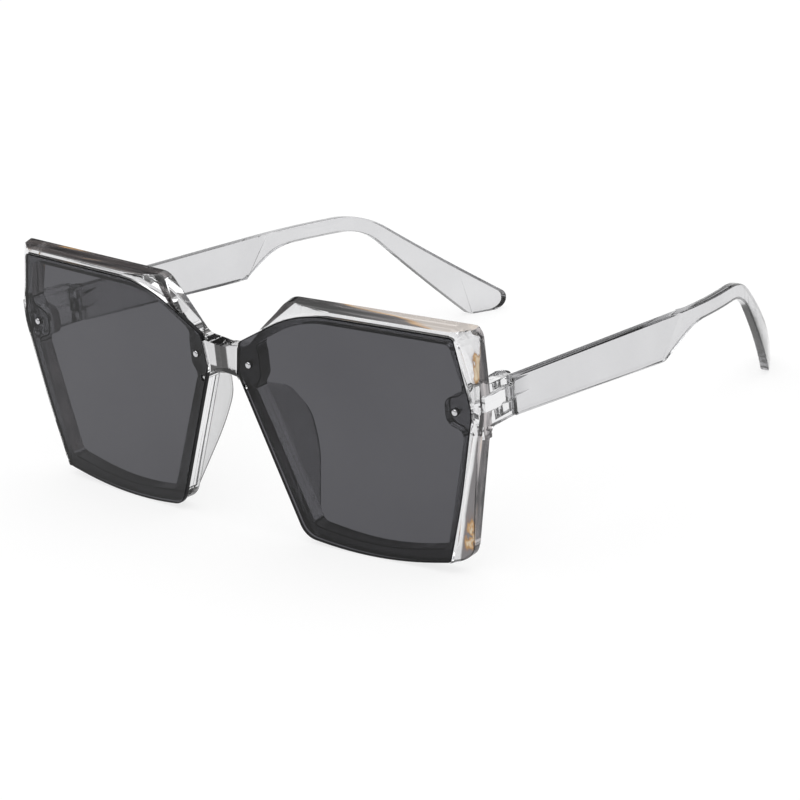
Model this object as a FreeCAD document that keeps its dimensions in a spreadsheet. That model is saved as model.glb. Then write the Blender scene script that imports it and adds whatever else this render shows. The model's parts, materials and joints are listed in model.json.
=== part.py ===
import FreeCAD, Part
import math
import os
import re

import Sketcher

# Oversized square sunglasses: a clear moulded front, two flat tinted lenses and two folding temples.
# X runs across the face, Y from the front backwards, Z up from the table that the pair stands on.
# The left half, on the wearer's left, is modelled on the +X side and mirrored.

V = FreeCAD.Vector
X_AXIS = V(1, 0, 0)
Y_AXIS = V(0, 1, 0)
Z_AXIS = V(0, 0, 1)

# Driving sizes, in millimetres and degrees.
# Each half of the front is laid out flat from the middle of the bridge, across and up, then wrapped back.
SIZES = {
    "overall_depth": 147.0,
    "bulge_reach": 71.6,
    "brow_height": 57.4,
    "wrap_angle": 3.75,
    "front_depth": 4.8,
    "overrun": 5.0,
    # Lens outline, from the outer top corner round by the nose to the outer bulge
    "lens_thickness": 1.2,
    "lens_clearance": 0.12,
    "side_margin": 1.9,
    "brow_margin": 2.1,
    "corner_cut": 3.4,
    "lens_top_radius": 1.2,
    "lens_brow": 23.7,
    "lens_brow_radius": 36.0,
    "lens_nose_top": 5.8,
    "nose_drop": 9.3,
    "lens_nose_top_radius": 1.5,
    "lens_nose": 4.6,
    "nose_side": 7.8,
    "lens_nose_radius": 3.0,
    "lens_low_nose": 19.3,
    "lens_low_nose_height": 1.5,
    "lens_low_nose_radius": 5.0,
    "lens_low_drop": 1.05,
    "low_bow": 16.0,
    "foot_cut": 9.5,
    "lens_low_outer_height": 2.7,
    "lens_low_outer_radius": 1.5,
    "lens_side_height": 18.0,
    "lens_side_bow": 0.6,
    "lens_side_radius": 150.0,
    "bulge_drop": 16.3,
    "lens_bulge_radius": 10.0,
    # Border of the front, which frames the lens along the brow and the outer side
    "land_width": 0.25,
    "land_slope": 52.0,
    "brow_draft": 1.1,
    "brow_tuck": 0.4,
    "brow_outer_radius": 2.6,
    "brow_inner": 19.3,
    "brow_inner_radius": 5.0,
    "side_draft": 0.5,
    "bulge_radius": 14.0,
    "foot_margin": 4.3,
    "foot_rise": 0.7,
    "foot_radius": 4.0,
    "rim_inset": 0.35,
    # Bridge
    "bridge_top_drop": 1.8,
    "bridge_height": 6.0,
    "bridge_shoulder": 7.7,
    "bridge_shoulder_rise": 0.7,
    "bridge_shoulder_radius": 4.0,
    "bridge_root": 5.5,
    "bridge_arch": 1.2,
    "bridge_root_radius": 2.5,
    "bridge_setback": 0.35,
    # Opening of the rim behind the lens, with a tab for each rivet
    "rim_top": 2.1,
    "rim_side": 1.8,
    "rim_nose": 4.6,
    "rim_low": 3.0,
    "rim_corner_radius": 2.0,
    "rim_brow_radius": 30.0,
    "outer_rivet_inset": 4.7,
    "outer_rivet_drop": 0.5,
    "outer_tab": 3.2,
    "outer_tab_top": 2.5,
    "outer_tab_radius": 2.6,
    "outer_tab_flare": 1.5,
    "inner_rivet": 8.1,
    "inner_rivet_drop": 5.1,
    "inner_tab": 2.8,
    "inner_tab_flare": 2.6,
    "tab_blend_radius": 1.8,
    # Rivets and locating pegs
    "rivet_diameter": 1.2,
    "rivet_head": 1.9,
    "rivet_dome": 0.45,
    "rivet_crown_share": 0.6,
    "rivet_length": 3.4,
    "rivet_clearance": 0.04,
    "peg_inset": 0.88,
    "peg_drop": 2.8,
    "peg_diameter": 1.0,
    "peg_setback": 0.15,
    "peg_clearance": 0.05,
    # Nose pads, moulded fins along the lower nose side of each rim
    "pad_drop": 0.8,
    "pad_tail_height": 0.7,
    "pad_shoulder": 4.6,
    "pad_shoulder_reach": 6.2,
    "pad_shoulder_radius": 5.0,
    "pad_crest": 12.0,
    "pad_crest_reach": 9.1,
    "pad_crest_radius": 10.0,
    "pad_flank": 20.5,
    "pad_flank_reach": 7.6,
    "pad_flank_radius": 28.0,
    "pad_tail_radius": 3.0,
    "pad_root": 2.6,
    "pad_thickness": 1.7,
    "pad_edge_radius": 0.6,
    "pad_splay": 13.0,
    # Endpieces, behind the outer side of each rim
    "end_tuck": 1.1,
    "end_draft": 1.1,
    "end_width": 3.9,
    "end_sink": 2.55,
    "end_length": 9.35,
    "end_top_rise": 5.7,
    "end_top_fall": 1.1,
    "end_low_drop": 4.9,
    "end_low_rise": 0.5,
    "end_blend_drop": 6.4,
    "end_blend_radius": 1.5,
    "rib_setback": 1.9,
    "rib_front_rise": 1.3,
    "rib_rise": 0.6,
    "rib_run": 0.25,
    "rib_height": 3.45,
    "rib_root_rise": 3.7,
    "rib_fall": 0.9,
    # Hinge
    "hinge_drop": 0.4,
    "hinge_inset": 0.4,
    "hinge_setback": 0.2,
    "hinge_height": 8.2,
    "mid_knuckle_height": 3.6,
    "mid_knuckle_rise": 0.1,
    "barrel_radius": 2.0,
    "barrel_clearance": 0.15,
    "knuckle_gap": 0.1,
    "front_arm_length": 5.9,
    "temple_arm_length": 7.9,
    "hinge_gap": 0.25,
    "screw_diameter": 1.4,
    "screw_clearance": 0.04,
    "screw_head": 2.5,
    "screw_head_height": 0.7,
    # Temple seen from the side, with its ear part measured from the back
    "temple_rise": 3.4,
    "temple_height": 8.5,
    "temple_end_radius": 0.6,
    "notch_run": 72.4,
    "notch_drop": 6.6,
    "notch_radius": 4.0,
    "ear_start_run": 59.9,
    "ear_start_drop": 1.3,
    "ear_start_radius": 20.0,
    "ear_bend_run": 33.2,
    "ear_bend_drop": 8.1,
    "ear_bend_radius": 24.0,
    "ear_bend_low_run": 33.4,
    "ear_bend_thickness": 4.0,
    "ear_bend_low_radius": 16.0,
    "tip_length": 8.4,
    "tip_heel_radius": 2.0,
    "tip_toe_radius": 3.2,
    "tip_height": 4.6,
    "tip_radius": 2.5,
    "step_run": 58.5,
    "step_depth": 0.3,
    # Temple seen from above
    "temple_tuck": 0.2,
    "temple_thickness": 2.6,
    "toe_in": 1.8,
    "hook_angle": 33.0,
    "hook_corner_back": 34.35,
    "hook_radius": 118.0,
    "hook_run": 50.0,
}

# Places that follow from the sizes
PLACES = {
    # Across the front, from its outermost bulge inwards
    "lens_bulge": "bulge_reach - side_margin",
    "lens_top_outer": "lens_bulge - corner_cut",
    "lens_low_outer": "lens_bulge - foot_cut",
    "side_slope": "(lens_bulge - lens_low_outer) / (lens_bulge_height - lens_low_outer_height)",
    "lens_side": "lens_low_outer + (lens_side_height - lens_low_outer_height) * side_slope + lens_side_bow",
    "lens_low_middle": "(lens_low_nose + lens_low_outer) / 2",
    "lens_low_radius": "(lens_low_outer - lens_low_nose)^2 / low_bow",
    "rim_low_radius": "(lens_low_outer - lens_low_nose - 2 * rim_low)^2 / low_bow",
    "brow_outer": "bulge_reach - brow_tuck",
    "foot_outer": "lens_low_outer + foot_margin",
    "outer_rivet": "lens_bulge - outer_rivet_inset",
    "rim_low_outer": "lens_low_outer + rim_low * side_slope - rim_side",
    "tab_high_root": "lens_bulge - (tab_high - lens_bulge_height) * corner_cut / bulge_drop - rim_side",
    "tab_low_root": "lens_bulge - (lens_bulge_height - tab_low) * side_slope - rim_side",
    "end_outer_root": "bulge_reach - end_tuck",
    "end_outer": "end_outer_root - end_draft",
    "end_inner": "end_outer_root - end_width",
    "rib_front_reach": "end_outer_root + rib_front_rise",
    "rib_reach": "end_outer + rib_rise",
    "hinge_across": "end_inner - hinge_inset",
    "temple_outer": "end_outer - temple_tuck",
    "temple_inner": "temple_outer - temple_thickness",
    # Up the front, from the brow downwards
    "lens_top": "brow_height - brow_margin",
    "lens_bulge_height": "lens_top - bulge_drop",
    "lens_nose_top_height": "lens_top - nose_drop",
    "lens_nose_height": "lens_nose_top_height - nose_side",
    "foot_height": "lens_low_outer_height + foot_rise",
    "bridge_top": "lens_nose_top_height - bridge_top_drop",
    "bridge_shoulder_height": "bridge_top + bridge_shoulder_rise",
    "bridge_low": "bridge_top - bridge_height",
    "bridge_root_height": "bridge_low - bridge_arch",
    "pad_top": "bridge_root_height - pad_drop",
    "pad_length": "pad_top - pad_tail_height",
    "outer_rivet_height": "lens_bulge_height - outer_rivet_drop",
    "tab_high": "outer_rivet_height + outer_tab_top + outer_tab_flare",
    "tab_low": "outer_rivet_height - outer_tab - outer_tab_flare",
    "inner_rivet_height": "lens_nose_top_height - inner_rivet_drop",
    "peg_height": "lens_nose_height - peg_drop",
    "nose_slope": "(lens_low_nose - lens_nose) / (lens_nose_height - lens_low_nose_height)",
    "peg": "lens_nose + peg_drop * nose_slope + peg_inset",
    "hinge_middle": "lens_bulge_height - hinge_drop",
    "hinge_base": "hinge_middle - hinge_height / 2",
    "hinge_top": "hinge_middle + hinge_height / 2",
    "hinge_split_low": "hinge_middle + mid_knuckle_rise - mid_knuckle_height / 2",
    "hinge_split_high": "hinge_middle + mid_knuckle_rise + mid_knuckle_height / 2",
    "end_top_root": "hinge_middle + end_top_rise",
    "end_top": "end_top_root - end_top_fall",
    "end_low": "hinge_middle - end_low_drop",
    "end_low_root": "end_low + end_low_rise",
    "end_blend_low": "hinge_middle - end_blend_drop",
    "rib_top_root": "hinge_middle + rib_root_rise",
    "rib_low_root": "rib_top_root - rib_height",
    "rib_top": "rib_top_root - rib_fall",
    "rib_low": "rib_low_root - rib_fall",
    "temple_top": "hinge_middle + temple_rise",
    "temple_low": "temple_top - temple_height",
    "notch_height": "temple_low - notch_drop",
    "ear_start_height": "temple_low - ear_start_drop",
    "ear_bend_height": "temple_top - ear_bend_drop",
    "ear_bend_low_height": "ear_bend_height - ear_bend_thickness",
    # From the lens backwards
    "rim_front": "lens_bulge * sin(wrap_angle)",
    "rim_rear": "rim_front + front_depth * cos(wrap_angle)",
    "end_start": "rim_rear - end_sink",
    "rib_start": "rim_front + rib_setback",
    "rib_shoulder": "rim_rear + rib_run",
    "end_gap_plane": "rim_rear + end_length",
    "hinge_back": "end_gap_plane + hinge_setback",
    "front_arm": "end_gap_plane - front_arm_length",
    "temple_arm": "end_gap_plane + temple_arm_length",
    "temple_front": "end_gap_plane + hinge_gap",
    "notch": "overall_depth - notch_run",
    "step_top": "overall_depth - step_run",
    "ear_start": "overall_depth - ear_start_run",
    "ear_bend": "overall_depth - ear_bend_run",
    "ear_bend_low": "overall_depth - ear_bend_low_run",
    "tip_heel": "overall_depth - tip_length",
    "hook_corner_run": "(overall_depth - end_gap_plane - hook_corner_back) / cos(toe_in)",
    "centre_back": "overall_depth / 2",
}

document = FreeCAD.newDocument("Sunglasses")
sheet = document.addObject("Spreadsheet::Sheet", "Sizes")
for row, (alias, number) in enumerate(SIZES.items(), 1):
    sheet.set(f"A{row}", alias)
    sheet.set(f"B{row}", str(number))
    sheet.setAlias(f"B{row}", alias)
document.recompute()


def formula(text):
    """Writes a formula out in the sizes of the sheet."""
    def written_out(word):
        name = word[0]
        if name in PLACES:
            return f"({formula(PLACES[name])})"
        return f"Sizes.{name}" if name in SIZES else name
    return re.sub(r"[a-z_]+", written_out, text)


def value(text):
    """Works a formula out to a plain number."""
    result = sheet.evalExpression(formula(text))
    return float(getattr(result, "Value", result))


def bind(item, **formulas):
    """Binds properties of an object to formulas of the sheet."""
    for name, text in formulas.items():
        item.setExpression(name.replace("__", "."), formula(text))
    return item


def sketch_on(name, rotation):
    """Adds an empty sketch on a plane through the origin."""
    sketch = document.addObject("Sketcher::SketchObject", name)
    sketch.Placement = FreeCAD.Placement(V(), rotation)
    return sketch


FACING_FRONT = FreeCAD.Rotation(X_AXIS, 90)
FROM_ABOVE = FreeCAD.Rotation()
FROM_SIDE = FreeCAD.Rotation(Y_AXIS, Z_AXIS, X_AXIS, "XYZ")


def pin_point(sketch, point, corner):
    """Holds a construction point at a corner's two formulas."""
    for kind, axis, text in (("DistanceX", -2, corner[0]), ("DistanceY", -1, corner[1])):
        length = value(text)
        if abs(length) < 1e-9:
            sketch.addConstraint(Sketcher.Constraint("PointOnObject", point, 1, axis))
        elif length > 0:
            index = sketch.addConstraint(Sketcher.Constraint(kind, -1, 1, point, 1, length))
            sketch.setExpression(f"Constraints[{index}]", formula(text))
        else:
            index = sketch.addConstraint(Sketcher.Constraint(kind, point, 1, -1, 1, -length))
            sketch.setExpression(f"Constraints[{index}]", formula(f"-({text})"))


def draw_outline(sketch, corners):
    """Draws a closed outline through corners, given as across, up and an optional rounding radius."""
    places = [V(value(corner[0]), value(corner[1]), 0) for corner in corners]
    count = len(corners)
    leads = [(places[i] - places[i - 1]).normalize() for i in range(count)]
    entries = list(places)
    exits = list(places)
    turns = [0.0] * count
    for i, corner in enumerate(corners):
        if len(corner) > 2:
            ahead = leads[(i + 1) % count]
            turns[i] = math.atan2(leads[i].cross(ahead).z, leads[i].dot(ahead))
            setback = value(corner[2]) * math.tan(abs(turns[i]) / 2)
            entries[i] = places[i] - leads[i] * setback
            exits[i] = places[i] + ahead * setback
    lines = []
    for i in range(count):
        lines.append(sketch.addGeometry(Part.LineSegment(exits[i - 1], entries[i]), False))
    for i, corner in enumerate(corners):
        before = lines[i]
        after = lines[(i + 1) % count]
        point = sketch.addGeometry(Part.Point(places[i]), True)
        pin_point(sketch, point, corner)
        if len(corner) == 2:
            sketch.addConstraint(Sketcher.Constraint("Coincident", before, 2, point, 1))
            sketch.addConstraint(Sketcher.Constraint("Coincident", after, 1, point, 1))
            continue
        radius = value(corner[2])
        left = turns[i] > 0
        inward = Z_AXIS.cross(leads[i]) if left else leads[i].cross(Z_AXIS)
        centre = entries[i] + inward * radius
        first, last = (entries[i], exits[i]) if left else (exits[i], entries[i])
        angles = [math.atan2(end.y - centre.y, end.x - centre.x) for end in (first, last)]
        circle = Part.Circle(centre, Z_AXIS, radius)
        arc = sketch.addGeometry(Part.ArcOfCircle(circle, angles[0], angles[1]), False)
        arc_in, arc_out = (1, 2) if left else (2, 1)
        sketch.addConstraint(Sketcher.Constraint("Tangent", before, 2, arc, arc_in))
        sketch.addConstraint(Sketcher.Constraint("Tangent", arc, arc_out, after, 1))
        sketch.addConstraint(Sketcher.Constraint("PointOnObject", point, 1, before))
        sketch.addConstraint(Sketcher.Constraint("PointOnObject", point, 1, after))
        index = sketch.addConstraint(Sketcher.Constraint("Radius", arc, radius))
        sketch.setExpression(f"Constraints[{index}]", formula(corner[2]))
    return sketch


def prism(name, profile, direction, length, start="0", taper=None):
    """Extrudes a profile along an axis, from a start, with an optional outward taper."""
    solid = document.addObject("Part::Extrusion", name)
    solid.Base = profile
    solid.DirMode = "Custom"
    solid.Dir = direction
    solid.Solid = True
    bind(solid, LengthFwd=length)
    if taper:
        bind(solid, TaperAngle=taper)
    if start != "0":
        axis = "x" if direction == X_AXIS else "y" if direction == Y_AXIS else "z"
        bind(solid, **{f"Placement__Base__{axis}": start})
    return solid


def join(name, *pieces):
    """Fuses pieces into one solid."""
    result = document.addObject("Part::MultiFuse", name)
    result.Shapes = list(pieces)
    result.Refine = True
    return result


def meet(name, *pieces):
    """Keeps what the pieces share."""
    result = document.addObject("Part::MultiCommon", name)
    result.Shapes = list(pieces)
    result.Refine = True
    return result


def cut(name, base, *tools):
    """Takes tools away from a base."""
    result = document.addObject("Part::Cut", name)
    result.Base = base
    result.Tool = tools[0] if len(tools) == 1 else join(f"{name}_tools", *tools)
    result.Refine = True
    return result


def mirror(name, source):
    """Mirrors a piece to the other side of the nose."""
    result = document.addObject("Part::Mirroring", name)
    result.Source = source
    result.Normal = X_AXIS
    return result


def wrap(item):
    """Turns a piece that was laid out flat back by the wrap of the front."""
    item.Placement = FreeCAD.Placement(item.Placement.Base, FreeCAD.Rotation(Z_AXIS, value("wrap_angle")))
    item.setExpression("Placement.Rotation.Angle", formula("wrap_angle"))
    return item


def round_edges(name, base, radius, chosen):
    """Rounds the chosen edges of a solid."""
    document.recompute()
    result = document.addObject("Part::Fillet", name)
    result.Base = base
    size = value(radius)
    result.Edges = [(i, size, size) for i, edge in enumerate(base.Shape.Edges, 1) if chosen(edge)]
    return result


# Lens outline and the forms that follow it
LENS = [
    ("lens_top_outer", "lens_top", "lens_top_radius"),
    ("lens_brow", "lens_top", "lens_brow_radius"),
    ("lens_nose_top", "lens_nose_top_height", "lens_nose_top_radius"),
    ("lens_nose", "lens_nose_height", "lens_nose_radius"),
    ("lens_low_nose", "lens_low_nose_height", "lens_low_nose_radius"),
    ("lens_low_middle", "-lens_low_drop", "lens_low_radius"),
    ("lens_low_outer", "lens_low_outer_height", "lens_low_outer_radius"),
    ("lens_side", "lens_side_height", "lens_side_radius"),
    ("lens_bulge", "lens_bulge_height", "lens_bulge_radius"),
]
lens_outline = draw_outline(sketch_on("lens_outline", FACING_FRONT), LENS)

lens_face = document.addObject("Part::Face", "lens_face")
lens_face.Sources = [lens_outline]


def grown_lens(name, distance):
    """Grows the lens outline evenly."""
    grown = document.addObject("Part::Offset2D", name)
    grown.Source = lens_face
    grown.Mode = "Skin"
    grown.Join = "Arc"
    return bind(grown, Value=distance)


seat_outline = grown_lens("seat_outline", "lens_clearance")
land_outline = grown_lens("land_outline", "land_width")


def front_outline(name, height, inset):
    """Outline of half the front with its half of the bridge, at one depth."""
    corners = [
        ("0", "bridge_low"),
        ("bridge_root", "bridge_root_height", "bridge_root_radius"),
        ("lens_low_nose + rim_inset", "lens_low_nose_height + rim_inset", "lens_low_nose_radius"),
        ("lens_low_middle", "rim_inset - lens_low_drop", "lens_low_radius"),
        ("foot_outer", "foot_height", "foot_radius"),
        (f"bulge_reach - {inset}", "lens_bulge_height", "bulge_radius"),
        (f"brow_outer - {inset}", height, "brow_outer_radius"),
        ("brow_inner", height, "brow_inner_radius"),
        ("bridge_shoulder", "bridge_shoulder_height", "bridge_shoulder_radius"),
        ("0", "bridge_top"),
    ]
    return draw_outline(sketch_on(name, FACING_FRONT), corners)


# Border and rim: a drafted block, bevelled back all round from the lens
front_face = front_outline("front_face", "brow_height - brow_draft", "side_draft")
rear_face = bind(front_outline("rear_face", "brow_height", "0"), Placement__Base__y="front_depth")
front_blank = document.addObject("Part::Loft", "front_blank")
front_blank.Sections = [front_face, rear_face]
front_blank.Solid = True
front_blank.Ruled = True
bevel = prism("bevel", land_outline, Y_AXIS, "front_depth + overrun", taper="land_slope")
border = meet("border", front_blank, bevel)

bridge_outline = draw_outline(sketch_on("bridge_outline", FACING_FRONT), [
    ("0", "bridge_low"),
    ("bridge_root", "bridge_root_height", "bridge_root_radius"),
    ("lens_nose + rim_nose", "pad_top"),
    ("lens_nose + rim_nose", "lens_nose_top_height"),
    ("bridge_shoulder", "bridge_shoulder_height", "bridge_shoulder_radius"),
    ("0", "bridge_top"),
])
bridge = prism("bridge", bridge_outline, Y_AXIS, "front_depth - bridge_setback", start="bridge_setback")

opening_outline = draw_outline(sketch_on("opening_outline", FACING_FRONT), [
    ("lens_top_outer - rim_side", "lens_top - rim_top", "rim_corner_radius"),
    ("lens_brow", "lens_top - rim_top", "rim_brow_radius"),
    ("lens_nose_top + rim_nose", "lens_nose_top_height", "tab_blend_radius"),
    ("inner_rivet + inner_tab", "inner_rivet_height + inner_tab_flare", "rim_corner_radius"),
    ("inner_rivet + inner_tab", "inner_rivet_height - inner_tab_flare", "rim_corner_radius"),
    ("lens_nose + rim_nose", "lens_nose_height - inner_tab_flare", "tab_blend_radius"),
    ("lens_low_nose + rim_low", "lens_low_nose_height + rim_low", "rim_corner_radius"),
    ("lens_low_middle", "rim_low - lens_low_drop", "rim_low_radius"),
    ("rim_low_outer", "lens_low_outer_height + rim_low", "rim_corner_radius"),
    ("tab_low_root", "tab_low", "tab_blend_radius"),
    ("outer_rivet - outer_tab", "outer_rivet_height - outer_tab", "outer_tab_radius"),
    ("outer_rivet - outer_tab", "outer_rivet_height + outer_tab_top", "outer_tab_radius"),
    ("tab_high_root", "tab_high", "tab_blend_radius"),
])
opening = prism("opening", opening_outline, Y_AXIS, "front_depth + overrun")
shell = wrap(cut("shell", join("front_form", border, bridge), opening))
seat = bind(wrap(prism("seat", seat_outline, Y_AXIS, "lens_thickness")), LengthRev="overrun")


def drill(name, across, height, diameter, depth):
    """Round tool that enters the front face of the flat layout to a depth."""
    tool = document.addObject("Part::Cylinder", name)
    tool.Placement.Rotation = FreeCAD.Rotation(X_AXIS, -90)
    bind(tool, Radius=f"({diameter}) / 2", Height=f"overrun + {depth}")
    return bind(tool, Placement__Base__x=across, Placement__Base__y="-overrun", Placement__Base__z=height)


RIVETS = {
    "outer": ("outer_rivet", "outer_rivet_height"),
    "inner": ("inner_rivet", "inner_rivet_height"),
}
rivet_bore = "rivet_diameter + 2 * rivet_clearance"
peg_bore = "peg_diameter + 2 * peg_clearance"

FRONT_TURN = FreeCAD.Rotation(Z_AXIS, value("wrap_angle"))


def place_on_front(item, across, depth, height, shift="0"):
    """Sets the base of an object at a place of the wrapped front."""
    x_place = f"({across}) * cos(wrap_angle) - ({depth}) * sin(wrap_angle)"
    y_place = f"({across}) * sin(wrap_angle) + ({depth}) * cos(wrap_angle) - {shift}"
    return bind(item, Placement__Base__x=x_place, Placement__Base__y=y_place, Placement__Base__z=height)


# Lens, drilled for its rivets and its locating peg
lens_blank = prism("lens_blank", lens_outline, Y_AXIS, "lens_thickness")
lens_drills = [drill("lens_peg_drill", "peg", "peg_height", peg_bore, "front_depth")]
for name, place in RIVETS.items():
    lens_drills.append(drill(f"lens_{name}_drill", *place, rivet_bore, "front_depth"))
left_lens = wrap(cut("left_lens", lens_blank, *lens_drills))
front_drills = []
for name, place in RIVETS.items():
    front_drills.append(drill(f"front_{name}_drill", *place, rivet_bore, "rivet_length"))
front_drilling = wrap(join("front_drilling", *front_drills))

locating_peg = document.addObject("Part::Cylinder", "locating_peg")
locating_peg.Placement.Rotation = FRONT_TURN.multiply(FreeCAD.Rotation(X_AXIS, -90))
bind(locating_peg, Radius="peg_diameter / 2", Height="front_depth - peg_setback - rim_inset")
place_on_front(locating_peg, "peg", "peg_setback", "peg_height")

# Nose pad: a fin that leans along the nose side of the rim and splays outwards
lean = math.atan2(value("lens_low_nose - lens_nose"), value("lens_nose_height - lens_low_nose_height"))
splay = math.radians(value("pad_splay"))
down_edge = V(math.sin(lean), 0, -math.cos(lean))
outwards = V(math.cos(lean), 0, math.sin(lean))
backwards = Y_AXIS * math.cos(splay) + outwards * math.sin(splay)
pad_sketch = sketch_on("pad_outline", FreeCAD.Rotation(backwards, down_edge, V(), "XYZ"))
edge_at_top = value("lens_nose + rim_inset") + value("lens_nose_height - pad_top") * math.tan(lean)
pad_base = V(edge_at_top, value("front_depth - pad_root"), value("pad_top"))
pad_sketch.Placement.Base = pad_base + outwards * value("pad_thickness")
draw_outline(pad_sketch, [
    ("0", "0"),
    ("pad_root + pad_shoulder_reach", "pad_shoulder", "pad_shoulder_radius"),
    ("pad_root + pad_crest_reach", "pad_crest", "pad_crest_radius"),
    ("pad_root + pad_flank_reach", "pad_flank", "pad_flank_radius"),
    ("pad_root", "pad_length", "pad_tail_radius"),
    ("0", "pad_length"),
])
pad_blank = document.addObject("Part::Extrusion", "pad_blank")
pad_blank.Base = pad_sketch
pad_blank.DirMode = "Normal"
pad_blank.Solid = True
bind(pad_blank, LengthFwd="pad_thickness")


def is_pad_rim(edge):
    """Tells the edges round the free side of the pad from those at its root."""
    across = abs((edge.Vertexes[0].Point - edge.Vertexes[-1].Point).dot(backwards.cross(down_edge)))
    free = (edge.CenterOfMass - pad_base).dot(backwards) > value("pad_root") / 2
    return free and across < value("pad_thickness") / 2


nose_pad = wrap(round_edges("nose_pad", pad_blank, "pad_edge_radius", is_pad_rim))

# Endpiece with its middle rib
end_side = draw_outline(sketch_on("end_side", FROM_SIDE), [
    ("end_start", "end_blend_low"),
    ("rim_rear", "end_blend_low"),
    ("rim_rear", "end_low_root", "end_blend_radius"),
    ("end_gap_plane", "end_low"),
    ("end_gap_plane", "end_top"),
    ("end_start", "end_top_root"),
])
end_plan = draw_outline(sketch_on("end_plan", FROM_ABOVE), [
    ("end_inner", "end_start"),
    ("end_outer_root", "end_start"),
    ("end_outer_root", "rib_shoulder"),
    ("end_outer", "end_gap_plane"),
    ("end_inner", "end_gap_plane"),
])
rib_side = draw_outline(sketch_on("rib_side", FROM_SIDE), [
    ("rib_start", "rib_low_root"),
    ("end_gap_plane", "rib_low"),
    ("end_gap_plane", "rib_top"),
    ("rib_start", "rib_top_root"),
])
rib_plan = draw_outline(sketch_on("rib_plan", FROM_ABOVE), [
    ("end_inner", "rib_start"),
    ("rib_front_reach", "rib_start"),
    ("rib_front_reach", "rib_shoulder"),
    ("rib_reach", "end_gap_plane"),
    ("end_inner", "end_gap_plane"),
])


def crossed(name, side, plan):
    """Solid with one outline from the side and another from above."""
    across = prism(f"{name}_across", side, X_AXIS, "temple_outer + overrun")
    upright = prism(f"{name}_upright", plan, Z_AXIS, "brow_height + overrun + overrun", start="-overrun")
    return meet(name, across, upright)


endpiece = crossed("endpiece", end_side, end_plan)
rib = crossed("rib", rib_side, rib_plan)


# Hinge: two knuckles on the front, one between them on the temple
def hinge_cylinder(name, radius, low, high):
    """Upright cylinder on the hinge axis."""
    cylinder = document.addObject("Part::Cylinder", name)
    bind(cylinder, Radius=radius, Height=f"{high} - ({low})")
    bind(cylinder, Placement__Base__x="hinge_across", Placement__Base__y="hinge_back")
    return bind(cylinder, Placement__Base__z=low)


def knuckle(name, arm_outline, low, high):
    """Barrel with the arm that carries it."""
    barrel = hinge_cylinder(f"{name}_barrel", "barrel_radius", low, high)
    arm = prism(f"{name}_arm", arm_outline, Z_AXIS, f"{high} - ({low})", start=low)
    return join(name, barrel, arm)


front_arm_outline = draw_outline(sketch_on("front_arm_outline", FROM_ABOVE), [
    ("hinge_across + barrel_radius", "front_arm"),
    ("hinge_across + barrel_radius", "hinge_back"),
    ("hinge_across - barrel_radius", "hinge_back"),
    ("hinge_across - barrel_radius", "hinge_back - barrel_radius"),
    ("end_inner", "front_arm"),
])
temple_arm_outline = draw_outline(sketch_on("temple_arm_outline", FROM_ABOVE), [
    ("hinge_across - barrel_radius", "hinge_back"),
    ("temple_inner + barrel_radius / 2", "hinge_back"),
    ("temple_inner + barrel_radius / 2", "temple_arm"),
    ("temple_inner", "temple_arm"),
    ("hinge_across - barrel_radius", "hinge_back + barrel_radius"),
])
high_knuckle = knuckle("high_knuckle", front_arm_outline, "hinge_split_high", "hinge_top")
low_knuckle = knuckle("low_knuckle", front_arm_outline, "hinge_base", "hinge_split_low")
mid_low = "hinge_split_low + knuckle_gap"
mid_high = "hinge_split_high - knuckle_gap"
mid_knuckle = knuckle("mid_knuckle", temple_arm_outline, mid_low, mid_high)

swing_radius = "barrel_radius + barrel_clearance"
screw_bore = "screw_diameter / 2 + screw_clearance"
front_relief = hinge_cylinder("front_relief", swing_radius, "hinge_split_low", "hinge_split_high")
front_bore = hinge_cylinder("front_bore", screw_bore, "hinge_base - overrun", "hinge_top + overrun")
head_seat = "screw_head / 2 + screw_clearance"
head_recess = hinge_cylinder("head_recess", head_seat, "hinge_top - screw_head_height", "hinge_top + overrun")

# Front: both halves in one moulding
half_form = join("half_form", shell, endpiece, rib, high_knuckle, low_knuckle, nose_pad)
half_cut = cut("half_cut", half_form, seat, front_drilling, front_relief, front_bore, head_recess)
half_front = join("half_front", half_cut, locating_peg)
front_frame = join("front_frame", half_front, mirror("half_front_mirrored", half_front))

# Temple
temple_side = draw_outline(sketch_on("temple_side", FROM_SIDE), [
    ("temple_front", "temple_low", "temple_end_radius"),
    ("notch", "notch_height", "notch_radius"),
    ("ear_start", "ear_start_height", "ear_start_radius"),
    ("ear_bend_low", "ear_bend_low_height", "ear_bend_low_radius"),
    ("tip_heel", "0", "tip_heel_radius"),
    ("overall_depth", "0", "tip_toe_radius"),
    ("overall_depth", "tip_height", "tip_radius"),
    ("ear_bend", "ear_bend_height", "ear_bend_radius"),
    ("temple_front", "temple_top", "temple_end_radius"),
])


def temple_plan(name, near, far):
    """Plan of the arm between two depths from its outer face: straight, then hooked in behind the ear."""
    def at_depth(depth):
        start = (f"temple_outer - ({depth}) * cos(toe_in)", f"end_gap_plane - ({depth}) * sin(toe_in)")
        run = f"(hook_corner_run - ({depth}) * tan((hook_angle - toe_in) / 2))"
        corner = (f"{start[0]} - {run} * sin(toe_in)", f"{start[1]} + {run} * cos(toe_in)")
        tail = (f"{corner[0]} - hook_run * sin(hook_angle)", f"{corner[1]} + hook_run * cos(hook_angle)")
        return start, (*corner, f"hook_radius - ({depth})"), tail
    return draw_outline(sketch_on(name, FROM_ABOVE), [*at_depth(near), *reversed(at_depth(far))])


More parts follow.
